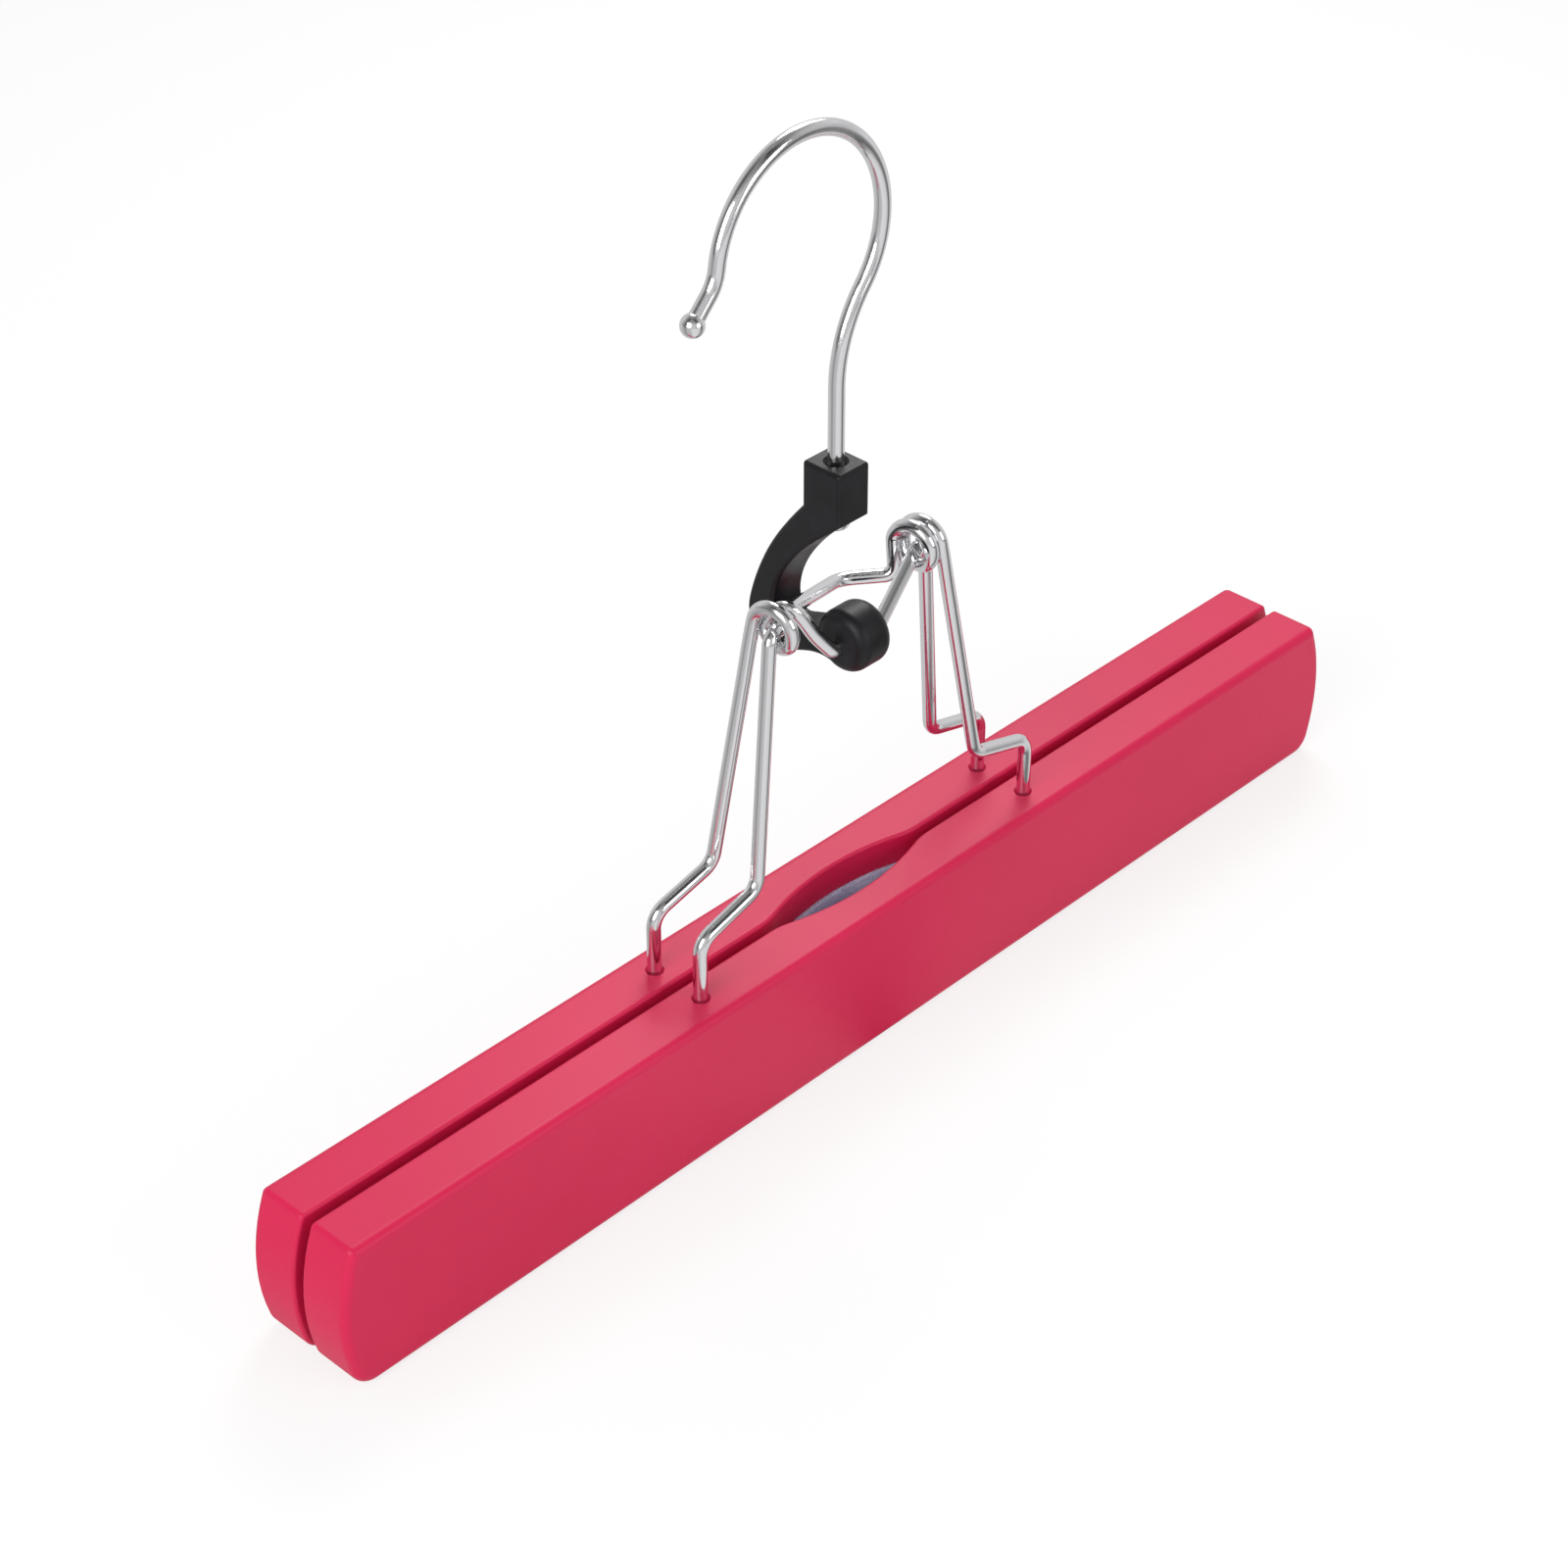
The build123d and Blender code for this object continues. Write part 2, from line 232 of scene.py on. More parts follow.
def coil_places(hand, turn):
    """An open coil from its leg, every few degrees; hand 1 is the right end."""
    line = []
    for degrees in range(0, turn + 1, COIL_STEP):
        angle = math.radians(degrees)
        line.append(place(
            hand * (COIL_X - COIL_PITCH * degrees / 360),
            -hand * (COIL_WIDE_R * math.cos(angle) - COIL_SHIFT),
            COIL_HEIGHT + COIL_TALL_R * math.sin(angle),
        ))
    return line


def leg(side, hand):
    """Peg, jog and foot of a leg; side 1 is the rear jaw, hand 1 the right end."""
    return [
        place(hand * PEG[0], side * PEG[1], PEG_FOOT),
        place(hand * PEG[0], side * PEG[1], JOG[0]),
        place(hand * LEG_LOW[0], side * LEG_LOW[1], JOG[1]),
    ]


def arch(hand):
    """The short flat on which the other frame's coil turns."""
    return [place(hand * x, hand * y, height) for x, y, height in (ARCH_NEAR, ARCH_FAR)]


def coiled_leg(side, hand, turn, after, last_dir):
    """A leg with its coil, eased on through the places after it."""
    coil = coil_places(hand, turn)
    foot = leg(side, hand)
    lead_dir = (coil[0] - foot[-1]).normalized()
    lead = coil[0] - lead_dir * COIL_LEAD
    line = bent_run(foot + [lead], [LEG_BEND_R] * 2)
    return line[:-1] + eased([lead] + coil + after, lead_dir, last_dir)


def rear_frame_line():
    knee = place(KNEES[0], *BORE)
    shoulder = place(*SHOULDER)
    tail_dir = (knee - shoulder).normalized()
    tail = knee - tail_dir * TAIL
    line = coiled_leg(1, -1, REAR_TURN, [shoulder, tail], tail_dir)
    run = [tail, knee, place(KNEES[1], *BORE)] + arch(1) + leg(1, 1)[::-1]
    return line + bent_run(run, [KNEE_R, KNEE_R, *ARCH_BENDS, LEG_BEND_R, LEG_BEND_R])[1:]


def front_frame_line():
    drop = place(*DROP)
    drop_dir = drop - coil_places(1, FRONT_TURN)[-1]
    line = coiled_leg(-1, 1, FRONT_TURN, [], drop_dir)
    run = [line[-1], drop, place(*CROSS), place(*MID)] + arch(-1) + leg(-1, -1)[::-1]
    return line + bent_run(run, [DROP_R, CROSS_R, MID_R, *ARCH_BENDS, LEG_BEND_R, LEG_BEND_R])[1:]


def arc(centre, radius, start, end, step=3):
    """Places along an arc in the hook's plane, angles in degrees."""
    count = max(2, math.ceil(abs(end - start) / step))
    line = []
    for i in range(count + 1):
        angle = math.radians(start + (end - start) * i / count)
        line.append(place(centre[0] + radius * math.cos(angle), 0, centre[1] + radius * math.sin(angle)))
    return line


def hook_line():
    """Stem, neck bend, crown, flare and tail of the hook."""
    rise = CROWN_HEIGHT - STEM_TOP
    neck_r = (CROWN_BACK**2 + rise**2 - CROWN_R**2) / (2 * (CROWN_R - CROWN_BACK))
    slope = math.degrees(math.atan2(rise, neck_r + CROWN_BACK))
    line = [place(CLAW_X, 0, STEM_FOOT)]
    line += arc((CLAW_X + neck_r, STEM_TOP), neck_r, 180, 180 - slope)
    crown = (CLAW_X - CROWN_BACK, CROWN_HEIGHT)
    line += arc(crown, CROWN_R, -slope, FLARE_START)[1:]
    reach = CROWN_R + FLARE_R
    angle = math.radians(FLARE_START)
    flare = (crown[0] + reach * math.cos(angle), crown[1] + reach * math.sin(angle))
    line += arc(flare, FLARE_R, FLARE_START - 180, FLARE_START - 180 - FLARE_TURN)[1:]
    tail_dir = (line[-1] - line[-2]).normalized()
    line.append(line[-1] + tail_dir * FLARE_TAIL)
    return line


def wall_line(side, rise):
    """Plan of a jaw's inner wall, recess included, moved by rise into the gap, from left to right."""
    share = RECESS_DEPTH * (2 * (RECESS_R + RECESS_BLEND_R) - RECESS_DEPTH)
    blend_x = math.sqrt(share)
    centre_y = JAW_GAP / 2 + RECESS_DEPTH - RECESS_R
    blend_y = JAW_GAP / 2 + RECESS_BLEND_R
    join_x = (RECESS_R - rise) * blend_x / (RECESS_R + RECESS_BLEND_R)
    line = []
    for i in range(-FELT_STEPS, FELT_STEPS + 1):
        x = FELT_HALF * i / FELT_STEPS
        reach = abs(x)
        if reach >= blend_x:
            y = JAW_GAP / 2 - rise
        elif reach <= join_x:
            y = centre_y + math.sqrt((RECESS_R - rise) ** 2 - x**2)
        else:
            y = blend_y - math.sqrt((RECESS_BLEND_R + rise) ** 2 - (reach - blend_x) ** 2)
        line.append((x, side * y))
    return line


# Node helper


def add_node(tree, kind, settings=None, links=None, at=(0, 0)):
    """Adds one node, sets its sockets and properties, and links its inputs."""
    node = tree.nodes.new(kind)
    node.location = at
    for key, value in (settings or {}).items():
        if isinstance(key, int) or key in node.inputs:
            node.inputs[key].default_value = value
        else:
            setattr(node, key, value)
    for key, source in (links or {}).items():
        tree.links.new(source, node.inputs[key])
    return node


def new_material(name):
    """An empty node material with its output."""
    mat = bpy.data.materials.new(name)
    mat.use_nodes = True
    mat.node_tree.nodes.clear()
    out = add_node(mat.node_tree, "ShaderNodeOutputMaterial", at=(900, 0))
    return mat, mat.node_tree, out


def set_ramp(node, stops):
    """Sets a colour ramp's stops as (place, hex colour)."""
    ramp = node.color_ramp
    while len(ramp.elements) > 1:
        ramp.elements.remove(ramp.elements[-1])
    ramp.elements[0].position = stops[0][0]
    ramp.elements[0].color = linear(stops[0][1])
    for share, code in stops[1:]:
        ramp.elements.new(share).color = linear(code)


# Materials


def jaw_enamel(props):
    """Sprayed satin enamel on beech: an even crimson coat, faint spray texture, the grain barely seen."""
    mat, tree, out = new_material("Sprayed_satin_enamel_on_beech")
    coords = add_node(tree, "ShaderNodeTexCoord", at=(-1200, 0))
    # beech rays and grain run along the bar, about 1 mm apart and 30 mm long
    grain_map = add_node(
        tree, "ShaderNodeMapping", {"Scale": (60.0, 900.0, 900.0)},
        {"Vector": coords.outputs["Object"]}, at=(-1000, 200),
    )
    grain = add_node(
        tree, "ShaderNodeTexNoise", {"Scale": 1.0, "Detail": 3.0, "Roughness": 0.6},
        {"Vector": grain_map.outputs["Vector"]}, at=(-800, 200),
    )
    # spray texture: droplets that flowed out, about 0.8 mm across
    peel = add_node(
        tree, "ShaderNodeTexNoise", {"Scale": 1200.0, "Detail": 2.0},
        {"Vector": coords.outputs["Object"]}, at=(-800, -100),
    )
    # thickness of the coat drifts over 40 mm
    drift = add_node(
        tree, "ShaderNodeTexNoise", {"Scale": 25.0, "Detail": 2.0},
        {"Vector": coords.outputs["Object"]}, at=(-800, -400),
    )
    tone = add_node(tree, "ShaderNodeValToRGB", links={"Fac": drift.outputs["Fac"]}, at=(-500, 100))
    set_ramp(tone, [(0.3, props.deep), (0.7, props.colour)])
    rough = add_node(
        tree, "ShaderNodeMapRange",
        {"To Min": props.roughness - 0.04, "To Max": props.roughness + 0.05},
        {"Value": peel.outputs["Fac"]}, at=(-500, -200),
    )
    grain_bump = add_node(
        tree, "ShaderNodeBump", {"Strength": 0.12, "Distance": 0.00005},
        {"Height": grain.outputs["Fac"]}, at=(-300, -400),
    )
    peel_bump = add_node(
        tree, "ShaderNodeBump", {"Strength": 0.25, "Distance": 0.00004},
        {"Height": peel.outputs["Fac"], "Normal": grain_bump.outputs["Normal"]}, at=(-100, -400),
    )
    coat = add_node(
        tree, "ShaderNodeBsdfPrincipled", {"IOR": 1.5, "Specular IOR Level": 0.3},
        {
            "Base Color": tone.outputs["Color"],
            "Roughness": rough.outputs["Result"],
            "Normal": peel_bump.outputs["Normal"],
        },
        at=(400, 0),
    )
    tree.links.new(coat.outputs["BSDF"], out.inputs["Surface"])
    return mat


PLATE = "Bright_chrome_plate_on_drawn_steel"


def plated_wire(props):
    """Bright nickel-chrome plate on drawn steel wire: mirror-like, with faint ripples and tiny pits."""
    mat, tree, out = new_material(PLATE)
    coords = add_node(tree, "ShaderNodeTexCoord", at=(-1000, 0))
    # ripples left by drawing and bending, 1 to 3 mm
    ripple = add_node(
        tree, "ShaderNodeTexNoise", {"Scale": 450.0, "Detail": 2.0},
        {"Vector": coords.outputs["Object"]}, at=(-700, -200),
    )
    pits = add_node(
        tree, "ShaderNodeTexNoise", {"Scale": 2500.0, "Detail": 1.0},
        {"Vector": coords.outputs["Object"]}, at=(-700, 100),
    )
    rough = add_node(
        tree, "ShaderNodeMapRange",
        {"From Min": 0.35, "From Max": 0.75, "To Min": props.roughness, "To Max": props.roughness + 0.1},
        {"Value": pits.outputs["Fac"]}, at=(-400, 100),
    )
    bump = add_node(
        tree, "ShaderNodeBump", {"Strength": 0.2, "Distance": 0.0001},
        {"Height": ripple.outputs["Fac"]}, at=(-400, -200),
    )
    plate = add_node(
        tree, "ShaderNodeBsdfPrincipled", {"Metallic": 1.0, "Base Color": linear(props.colour)},
        {"Roughness": rough.outputs["Result"], "Normal": bump.outputs["Normal"]}, at=(300, 0),
    )
    tree.links.new(plate.outputs["BSDF"], out.inputs["Surface"])
    return mat


def claw_plastic(props):
    """Injection-moulded polypropylene, black: fine spark-eroded grain that scatters the highlights."""
    mat, tree, out = new_material("Moulded_black_polypropylene")
    coords = add_node(tree, "ShaderNodeTexCoord", at=(-1000, 0))
    # spark-eroded tool grain, 0.25 mm
    grain = add_node(
        tree, "ShaderNodeTexNoise", {"Scale": 4000.0, "Detail": 2.0},
        {"Vector": coords.outputs["Object"]}, at=(-700, -200),
    )
    # flow marks and handling, 4 mm
    flow = add_node(
        tree, "ShaderNodeTexNoise", {"Scale": 250.0, "Detail": 3.0},
        {"Vector": coords.outputs["Object"]}, at=(-700, 100),
    )
    tone = add_node(tree, "ShaderNodeValToRGB", links={"Fac": flow.outputs["Fac"]}, at=(-400, 200))
    set_ramp(tone, [(0.3, props.colour), (0.75, props.worn)])
    rough = add_node(
        tree, "ShaderNodeMapRange",
        {"To Min": props.roughness - 0.08, "To Max": props.roughness + 0.1},
        {"Value": flow.outputs["Fac"]}, at=(-400, -50),
    )
    bump = add_node(
        tree, "ShaderNodeBump", {"Strength": 0.3, "Distance": 0.00006},
        {"Height": grain.outputs["Fac"]}, at=(-400, -300),
    )
    plastic = add_node(
        tree, "ShaderNodeBsdfPrincipled", {"IOR": 1.49, "Specular IOR Level": 0.28},
        {
            "Base Color": tone.outputs["Color"],
            "Roughness": rough.outputs["Result"],
            "Normal": bump.outputs["Normal"],
        },
        at=(300, 0),
    )
    tree.links.new(plastic.outputs["BSDF"], out.inputs["Surface"])
    return mat


def wool_felt(props):
    """Pressed wool felt, blue-grey: matted fibres give a mottled matt face, soft at its edges."""
    mat, tree, out = new_material("Pressed_wool_felt")
    coords = add_node(tree, "ShaderNodeTexCoord", at=(-1200, 0))
    # matted fibres, 0.3 mm across and a few millimetres long, lying every way
    bent = add_node(
        tree, "ShaderNodeTexNoise", {"Scale": 300.0, "Detail": 2.0},
        {"Vector": coords.outputs["Object"]}, at=(-1000, -200),
    )
    swirl = add_node(
        tree, "ShaderNodeVectorMath", {"operation": "MULTIPLY_ADD", 1: (0.004, 0.004, 0.004)},
        {0: bent.outputs["Color"], 2: coords.outputs["Object"]}, at=(-800, -100),
    )
    fibre = add_node(
        tree, "ShaderNodeTexNoise", {"Scale": 1800.0, "Detail": 4.0, "Roughness": 0.65},
        {"Vector": swirl.outputs["Vector"]}, at=(-600, -100),
    )
    # clouds of dyed and undyed wool, about 5 mm across
    cloud = add_node(
        tree, "ShaderNodeTexNoise", {"Scale": 200.0, "Detail": 2.0},
        {"Vector": coords.outputs["Object"]}, at=(-600, 200),
    )
    share = add_node(
        tree, "ShaderNodeMath", {"operation": "MULTIPLY_ADD", 1: 0.3},
        {0: cloud.outputs["Fac"], 2: fibre.outputs["Fac"]}, at=(-400, 100),
    )
    tone = add_node(tree, "ShaderNodeValToRGB", links={"Fac": share.outputs["Value"]}, at=(-200, 200))
    set_ramp(tone, [(0.45, props.dark), (0.8, props.colour)])
    bump = add_node(
        tree, "ShaderNodeBump", {"Strength": 0.8, "Distance": 0.00015},
        {"Height": fibre.outputs["Fac"]}, at=(-200, -200),
    )
    cloth = add_node(
        tree, "ShaderNodeBsdfPrincipled",
        {"Roughness": 0.95, "Specular IOR Level": 0.15, "Sheen Weight": 0.35, "Sheen Roughness": 0.6},
        {"Base Color": tone.outputs["Color"], "Normal": bump.outputs["Normal"]}, at=(300, 0),
    )
    tree.links.new(cloth.outputs["BSDF"], out.inputs["Surface"])
    return mat


# Settings


class EnamelSettings(bpy.types.PropertyGroup):
    colour: StringProperty(
        name="Enamel", description="Colour of the sprayed coat, as sRGB hex", default="#CE1A4C"
    )
    deep: StringProperty(
        name="Thick coat", description="Colour where the coat is thickest", default="#C91648"
    )
    roughness: FloatProperty(
        name="Roughness", description="Gloss of the satin coat", default=0.42, min=0, max=1,
        subtype="FACTOR",
    )


class WireSettings(bpy.types.PropertyGroup):
    colour: StringProperty(
        name="Plate", description="Reflection colour of the plating, as sRGB hex", default="#E4E4E6"
    )
    roughness: FloatProperty(
        name="Roughness", description="Blur of the plating's reflections", default=0.09, min=0, max=1,
        subtype="FACTOR",
    )
    sides: IntProperty(name="Sides", description="Flats round the wire", default=32, min=8, max=64)


class ClawSettings(bpy.types.PropertyGroup):
    colour: StringProperty(
        name="Plastic", description="Colour of the moulding, as sRGB hex", default="#0E0E11"
    )
    worn: StringProperty(
        name="Handled", description="Colour where hands have polished it", default="#18181C"
    )
    roughness: FloatProperty(
        name="Roughness", description="Gloss of the moulding", default=0.42, min=0, max=1,
        subtype="FACTOR",
    )


class FeltSettings(bpy.types.PropertyGroup):
    colour: StringProperty(
        name="Wool", description="Colour of the lighter wool, as sRGB hex", default="#C4CAE2"
    )
    dark: StringProperty(name="Dyed wool", description="Colour of the darker wool", default="#8A8FB2")
    density: FloatProperty(
        name="Fibres", description="Loose fibres per square metre of edge", default=9.0e6, min=0
    )
    fibre_length: FloatProperty(
        name="Fibre length", description="Height of the loose fibres", default=0.0006, min=0,
        unit="LENGTH",
    )
    seed: IntProperty(name="Seed", description="Where the loose fibres fall", default=7, min=0)


class StageSettings(bpy.types.PropertyGroup):
    distance: FloatProperty(
        name="Distance", description="Camera to the middle of the hanger", default=0.6708, unit="LENGTH"
    )
    azimuth: FloatProperty(
        name="Azimuth", description="Angle round the hanger, from its front towards its left end",
        default=math.radians(-46.325), subtype="ANGLE",
    )
    elevation: FloatProperty(
        name="Elevation", description="Angle above the horizon", default=math.radians(35.148),
        subtype="ANGLE",
    )
    lens: FloatProperty(name="Lens", description="Focal length in mm on a 36 mm sensor", default=79.34)
    key: FloatProperty(
        name="Key light", description="Power of the soft key light", default=4.5, subtype="POWER"
    )
    fill: FloatProperty(
        name="World", description="Strength of the even light from all round", default=0.5
    )
    mirrored: FloatProperty(
        name="Mirrored walls", description="Strength of what the plating mirrors", default=0.85
    )


# Operators


def repaint(node, material):
    """Gives a CAD node its finished material."""
    piece = nodes[node]
    piece.data.materials.clear()
    piece.data.materials.append(material)


class HANGER_OT_jaws(bpy.types.Operator):
    """Paint the two wooden jaws"""

    bl_idname = "hanger.jaws"
    bl_label = "Paint Jaws"

    def execute(self, context):
        enamel = jaw_enamel(context.scene.hanger_enamel)
        for node in ("front_jaw", "rear_jaw"):
            repaint(node, enamel)
        return {"FINISHED"}


def new_tree(name, sockets):
    """A geometry tree with its named inputs, each as (name, kind, default)."""
    tree = bpy.data.node_groups.new(name, "GeometryNodeTree")
    tree.interface.new_socket("Geometry", in_out="INPUT", socket_type="NodeSocketGeometry")
    for label, kind, default in sockets:
        socket = tree.interface.new_socket(label, in_out="INPUT", socket_type=kind)
        if default is not None:
            socket.default_value = default
    tree.interface.new_socket("Geometry", in_out="OUTPUT", socket_type="NodeSocketGeometry")
    given = add_node(tree, "NodeGroupInput", at=(-900, 0))
    out = add_node(tree, "NodeGroupOutput", at=(900, 0))
    return tree, given, out


def wire_tree():
    """Sweeps a round wire along a curve."""
    tree, given, out = new_tree("Drawn_wire", [
        ("Radius", "NodeSocketFloat", WIRE_R * MM),
        ("Sides", "NodeSocketInt", 32),
        ("Finish", "NodeSocketMaterial", None),
    ])
    section = add_node(
        tree, "GeometryNodeCurvePrimitiveCircle", {"mode": "RADIUS"},
        {"Resolution": given.outputs["Sides"], "Radius": given.outputs["Radius"]}, at=(-600, -200),
    )
    level = add_node(
        tree, "GeometryNodeSetCurveNormal", {"mode": "MINIMUM_TWIST"},
        {"Curve": given.outputs["Geometry"]}, at=(-600, 100),
    )
    body = add_node(
        tree, "GeometryNodeCurveToMesh", {"Fill Caps": True},
        {"Curve": level.outputs["Curve"], "Profile Curve": section.outputs["Curve"]}, at=(-300, 0),
    )
    smooth = add_node(
        tree, "GeometryNodeSetShadeSmooth", {"domain": "FACE"}, {"Geometry": body.outputs["Mesh"]},
        at=(0, 0),
    )
    real = add_node(
        tree, "GeometryNodeRealizeInstances", {}, {"Geometry": smooth.outputs["Geometry"]}, at=(300, 0)
    )
    finish = add_node(
        tree, "GeometryNodeSetMaterial", {},
        {"Geometry": real.outputs["Geometry"], "Material": given.outputs["Finish"]}, at=(600, 0),
    )
    tree.links.new(finish.outputs["Geometry"], out.inputs["Geometry"])
    return tree


def grown(holder, tree, values):
    """Runs a geometry tree on an object with the given inputs, and returns its plain mesh."""
    modifier = holder.modifiers.new(tree.name, "NODES")
    modifier.node_group = tree
    for item in tree.interface.items_tree:
        if item.in_out == "INPUT" and item.name in values:
            modifier[item.identifier] = values[item.name]
    graph = bpy.context.evaluated_depsgraph_get()
    graph.update()
    mesh = bpy.data.meshes.new_from_object(holder.evaluated_get(graph))
    bpy.data.objects.remove(holder)
    return mesh


def curve_holder(name, line):
    """A plain curve through places in mm, as an object in the frame."""
    data = bpy.data.curves.new(name + "_line", "CURVE")
    data.dimensions = "3D"
    spline = data.splines.new("POLY")
    spline.points.add(len(line) - 1)
    for point, where in zip(spline.points, line):
        point.co = (*spot(*where), 1.0)
    holder = bpy.data.objects.new(name + "_line", data)
    bpy.context.scene.collection.objects.link(holder)
    return holder


def show(name, mesh, body, stands_for):
    """Makes a finished piece from a mesh, riding on its body in place of its CAD node."""
    piece = bpy.data.objects.new(name, mesh)
    bpy.context.scene.collection.objects.link(piece)
    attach(piece, body)
    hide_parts(stands_for)
    return piece


def turned(profile, x, height, segments=32):
    """A round piece about a vertical line: profile as (radius, height) in mm from the bottom up."""
    mesh = bmesh.new()
    rings = []
    for radius, rise in profile:
        ring = []
        for i in range(segments):
            angle = math.tau * i / segments
            out = radius * math.cos(angle)
            back = radius * math.sin(angle)
            ring.append(mesh.verts.new(spot(x + out, back, height + rise)))
        rings.append(ring)
    for low, high in zip(rings, rings[1:]):
        for i in range(segments):
            j = (i + 1) % segments
            mesh.faces.new((low[i], low[j], high[j], high[i]))
    mesh.faces.new(rings[0][::-1])
    mesh.faces.new(rings[-1])
    return mesh


class HANGER_OT_wires(bpy.types.Operator):
    """Bend and plate the two wire frames"""

    bl_idname = "hanger.wires"
    bl_label = "Bend Frames"

    def execute(self, context):
        props = context.scene.hanger_wire
        plate = plated_wire(props)
        tree = wire_tree()
        for name, line in (("rear", rear_frame_line()), ("front", front_frame_line())):
            holder = curve_holder(name + "_frame", line)
            mesh = grown(holder, tree, {"Radius": WIRE_R * MM, "Sides": props.sides, "Finish": plate})
            show(name + "_frame_wire", mesh, name + "_half", name + "_frame")
        return {"FINISHED"}


class HANGER_OT_hook(bpy.types.Operator):
    """Bend the hook, with its ball tip and the riveted head below the claw's block"""

    bl_idname = "hanger.hook"
    bl_label = "Bend Hook"

    def execute(self, context):
        props = context.scene.hanger_wire
        plate = bpy.data.materials.get(PLATE) or plated_wire(props)
        line = hook_line()
        holder = curve_holder("hook", line)
        wire = grown(holder, wire_tree(), {"Radius": HOOK_R * MM, "Sides": props.sides, "Finish": plate})
        mesh = bmesh.new()
        mesh.from_mesh(wire)
        tip = bmesh.ops.create_uvsphere(mesh, u_segments=32, v_segments=20, radius=TIP_R * MM)
        bmesh.ops.translate(mesh, verts=tip["verts"], vec=spot(*line[-1]))
        head = turned(HEAD_PROFILE, CLAW_X, STEM_FOOT)
        spare = bpy.data.meshes.new("spare")
        head.to_mesh(spare)
        head.free()
        mesh.from_mesh(spare)
        for face in mesh.faces:
            face.smooth = True
            face.material_index = 0
        mesh.to_mesh(wire)
        mesh.free()
        bpy.data.meshes.remove(spare)
        show("hook_wire", wire, "hook", "hook")
        return {"FINISHED"}


class HANGER_OT_claw(bpy.types.Operator):
    """Finish the moulded claw"""

    bl_idname = "hanger.claw"
    bl_label = "Finish Claw"

    def execute(self, context):
        repaint("claw", claw_plastic(context.scene.hanger_claw))
        return {"FINISHED"}


def fibre_tree():
    """Grows loose bent fibres on the faces of a strip that are marked for them."""
    tree, given, out = new_tree("Loose_fibres", [
        ("Density", "NodeSocketFloat", 9.0e6),
        ("Height", "NodeSocketFloat", 0.6 * MM),
        ("Seed", "NodeSocketInt", 7),
        ("Finish", "NodeSocketMaterial", None),
    ])
    marked = add_node(
        tree, "GeometryNodeInputNamedAttribute", {"data_type": "BOOLEAN", "Name": "loose"}, at=(-900, 300)
    )
    fall = add_node(
        tree, "GeometryNodeDistributePointsOnFaces", {"distribute_method": "RANDOM"},
        {
            "Mesh": given.outputs["Geometry"], "Selection": marked.outputs["Attribute"],
            "Density": given.outputs["Density"], "Seed": given.outputs["Seed"],
        },
        at=(-600, 100),
    )
    # one fibre of unit height, bent over a little
    hair = add_node(
        tree, "GeometryNodeCurveQuadraticBezier",
        {
            "Resolution": 3, "Start": FIBRE_ROOT_SHARES, "Middle": FIBRE_BEND_SHARES,
            "End": FIBRE_TIP_SHARES,
        },
        at=(-900, -200),
    )
    section = add_node(
        tree, "GeometryNodeCurvePrimitiveCircle",
        {"mode": "RADIUS", "Resolution": 3, "Radius": FIBRE_R_SHARE}, at=(-900, -450),
    )
    shaft = add_node(
        tree, "GeometryNodeCurveToMesh", {},
        {"Curve": hair.outputs["Curve"], "Profile Curve": section.outputs["Curve"]}, at=(-600, -250),
    )
    spin = add_node(
        tree, "FunctionNodeRandomValue",
        {
            "data_type": "FLOAT_VECTOR", 0: (-FIBRE_LEAN, -FIBRE_LEAN, 0.0),
            1: (FIBRE_LEAN, FIBRE_LEAN, math.tau),
        },
        {"Seed": given.outputs["Seed"]}, at=(-600, -500),
    )
    turn = add_node(
        tree, "FunctionNodeRotateRotation", {"rotation_space": "LOCAL"},
        {"Rotation": fall.outputs["Rotation"], "Rotate By": spin.outputs["Value"]}, at=(-300, -300),
    )
    vary = add_node(
        tree, "FunctionNodeRandomValue", {"data_type": "FLOAT", 2: FIBRE_SHORTEST_SHARE, 3: 1.0},
        {"Seed": given.outputs["Seed"]}, at=(-300, -500),
    )
    size = add_node(
        tree, "ShaderNodeMath", {"operation": "MULTIPLY"},
        {0: vary.outputs[1], 1: given.outputs["Height"]}, at=(-100, -500),
    )
    grow = add_node(
        tree, "GeometryNodeInstanceOnPoints", {},
        {
            "Points": fall.outputs["Points"], "Instance": shaft.outputs["Mesh"],
            "Rotation": turn.outputs["Rotation"], "Scale": size.outputs["Value"],
        },
        at=(100, 0),
    )
    real = add_node(
        tree, "GeometryNodeRealizeInstances", {}, {"Geometry": grow.outputs["Instances"]}, at=(350, 0)
    )
    finish = add_node(
        tree, "GeometryNodeSetMaterial", {},
        {"Geometry": real.outputs["Geometry"], "Material": given.outputs["Finish"]}, at=(600, 0),
    )
    tree.links.new(finish.outputs["Geometry"], out.inputs["Geometry"])
    return tree


